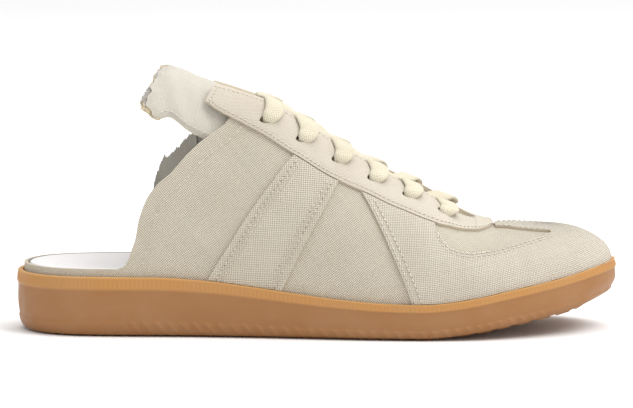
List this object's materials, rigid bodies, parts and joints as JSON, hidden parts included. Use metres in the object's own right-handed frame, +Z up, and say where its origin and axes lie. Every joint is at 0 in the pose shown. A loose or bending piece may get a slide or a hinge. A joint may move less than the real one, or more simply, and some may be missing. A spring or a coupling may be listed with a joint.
{
  "type": "cut-out trainer shoe",
  "caption": "Low canvas lace-up trainer with its heel and collar cut away, a raw-ended padded tongue, a slanting side band, a toe guard and a moulded gum cupsole. Right foot.",
  "frame": {"origin": "under the middle of the shoe, on the floor that it stands on", "axes": "+X from the heel to the toe, +Y towards the inner side of the foot, +Z up"},
  "size_m": [0.2875, 0.1038, 0.1267],
  "materials": {
    "gum_rubber": "satin gum rubber",
    "insole_lining": "smooth white lining",
    "canvas": "matt woven cotton",
    "facing_canvas": "matt woven cotton",
    "panel_canvas": "matt woven cotton",
    "tongue_canvas": "matt woven cotton",
    "lace_cotton": "matt woven cotton"
  },
  "bodies": {
    "root": {"outsole": "gum_rubber", "insole": "insole_lining", "upper": "canvas", "eyestay": "facing_canvas", "side_band_lateral": "panel_canvas", "side_band_medial": "panel_canvas", "toe_guard": "panel_canvas", "tongue": "tongue_canvas", "lace_cross_1": "lace_cotton", "lace_cross_2": "lace_cotton", "lace_cross_3": "lace_cotton", "lace_cross_4": "lace_cotton", "lace_cross_5": "lace_cotton", "lace_bar": "lace_cotton"}
  },
  "joints": []
}
